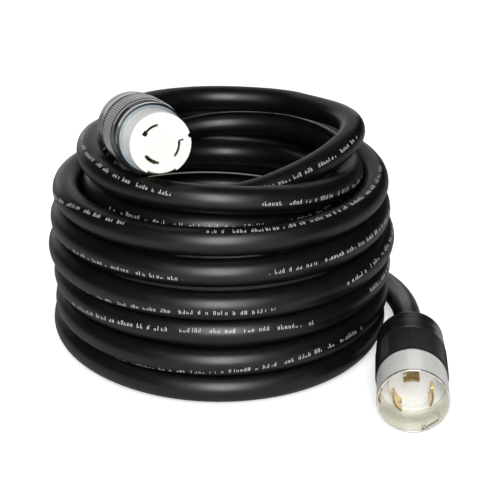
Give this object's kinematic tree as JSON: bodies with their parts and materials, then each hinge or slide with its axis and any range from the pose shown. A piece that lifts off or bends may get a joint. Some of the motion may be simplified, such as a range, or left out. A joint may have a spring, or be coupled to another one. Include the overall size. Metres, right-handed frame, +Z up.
{
  "type": "shore power cord",
  "caption": "Heavy black rubber power cord coiled in a stack of turns, with a steel-shrouded male locking plug and a white-faced female locking connector.",
  "frame": {"origin": "on the floor under the middle of the whole cord, coil and both ends together", "axes": "+Z up, the coil's axis stands along Z; -Y is the front, where the plug's mouth and the connector's face point; +X is the side where the plug lies"},
  "size_m": [0.3765, 0.4047, 0.2468],
  "materials": {
    "jacket_rubber": "smooth extruded rubber, slightly dusty satin",
    "grommet_rubber": "matt",
    "black_nylon": "glossy moulded nylon",
    "collar_nylon": "glossy",
    "bright_steel": "bright nickel plate, lightly brushed round",
    "plated_screws": "zinc plated",
    "white_nylon": "semi-gloss moulded nylon",
    "brass": "bright stamped brass",
    "copper_strip": "copper-coloured stamped strip",
    "clamp_nylon": "matt moulded nylon",
    "wire_black": "insulation",
    "wire_red": "insulation",
    "wire_white": "insulation",
    "wire_green": "insulation"
  },
  "bodies": {
    "cord": {"cable_coil": "jacket_rubber", "cable_plug_lead": "jacket_rubber", "cable_connector_lead": "jacket_rubber", "plug_housing": "black_nylon", "plug_rear_cap": "black_nylon", "plug_shroud": "bright_steel", "plug_shroud_rivet": "plated_screws", "plug_insert": "white_nylon", "plug_blade_x": "brass", "plug_blade_y": "brass", "plug_blade_w": "brass", "plug_ground_strip": "copper_strip", "plug_terminal_screws": "plated_screws", "plug_wire_black": "wire_black", "plug_wire_red": "wire_red", "plug_wire_white": "wire_white", "plug_wire_green": "wire_green", "plug_jacket_end": "jacket_rubber", "plug_grommet": "grommet_rubber", "plug_clamp_base": "clamp_nylon", "plug_assembly_screws": "plated_screws", "connector_housing": "black_nylon", "connector_rear_cap": "black_nylon", "connector_collar": "collar_nylon", "connector_core": "white_nylon", "connector_contact_x": "brass", "connector_contact_y": "brass", "connector_contact_w": "brass", "connector_ground_contact": "brass", "connector_terminal_screws": "plated_screws", "connector_wire_black": "wire_black", "connector_wire_red": "wire_red", "connector_wire_white": "wire_white", "connector_wire_green": "wire_green", "connector_jacket_end": "jacket_rubber", "connector_grommet": "grommet_rubber", "connector_clamp_base": "clamp_nylon", "connector_assembly_screws": "plated_screws"},
    "plug_clamp_saddle": {"plug_clamp_saddle": "clamp_nylon"},
    "plug_clamp_screw_left": {"plug_clamp_screw_left": "plated_screws"},
    "plug_clamp_screw_right": {"plug_clamp_screw_right": "plated_screws"},
    "connector_clamp_saddle": {"connector_clamp_saddle": "clamp_nylon"},
    "connector_clamp_screw_left": {"connector_clamp_screw_left": "plated_screws"},
    "connector_clamp_screw_right": {"connector_clamp_screw_right": "plated_screws"}
  },
  "joints": [
    {"name": "plug_saddle_slide", "type": "slide", "parent": "cord", "child": "plug_clamp_saddle", "axis": [0, 0, -1], "range_m": [0, 0.0025]},
    {"name": "plug_clamp_screw_left_turn", "type": "hinge", "parent": "plug_clamp_saddle", "child": "plug_clamp_screw_left", "pos_m": [0.13969, -0.11465, 0.03175], "axis": [0, 0, -1], "range_deg": [0, 1125]},
    {"name": "plug_clamp_screw_right_turn", "type": "hinge", "parent": "plug_clamp_saddle", "child": "plug_clamp_screw_right", "pos_m": [0.1725, -0.1181, 0.03175], "axis": [0, 0, -1], "range_deg": [0, 1125]},
    {"name": "connector_saddle_slide", "type": "slide", "parent": "cord", "child": "connector_clamp_saddle", "axis": [0.0499, -0.141, -0.9888], "range_m": [0, 0.0025]},
    {"name": "connector_clamp_screw_left_turn", "type": "hinge", "parent": "connector_clamp_saddle", "child": "connector_clamp_screw_left", "pos_m": [-0.11028, -0.00972, 0.20634], "axis": [0.0499, -0.141, -0.9888], "range_deg": [0, 1125]},
    {"name": "connector_clamp_screw_right_turn", "type": "hinge", "parent": "connector_clamp_saddle", "child": "connector_clamp_screw_right", "pos_m": [-0.07917, 0.0013, 0.20634], "axis": [0.0499, -0.141, -0.9888], "range_deg": [0, 1125]}
  ],
  "couplings": [
    {"joint": "plug_clamp_screw_left_turn", "follows": "plug_saddle_slide", "rad_per_m": 7854},
    {"joint": "plug_clamp_screw_right_turn", "follows": "plug_saddle_slide", "rad_per_m": 7854},
    {"joint": "connector_clamp_screw_left_turn", "follows": "connector_saddle_slide", "rad_per_m": 7854},
    {"joint": "connector_clamp_screw_right_turn", "follows": "connector_saddle_slide", "rad_per_m": 7854}
  ]
}
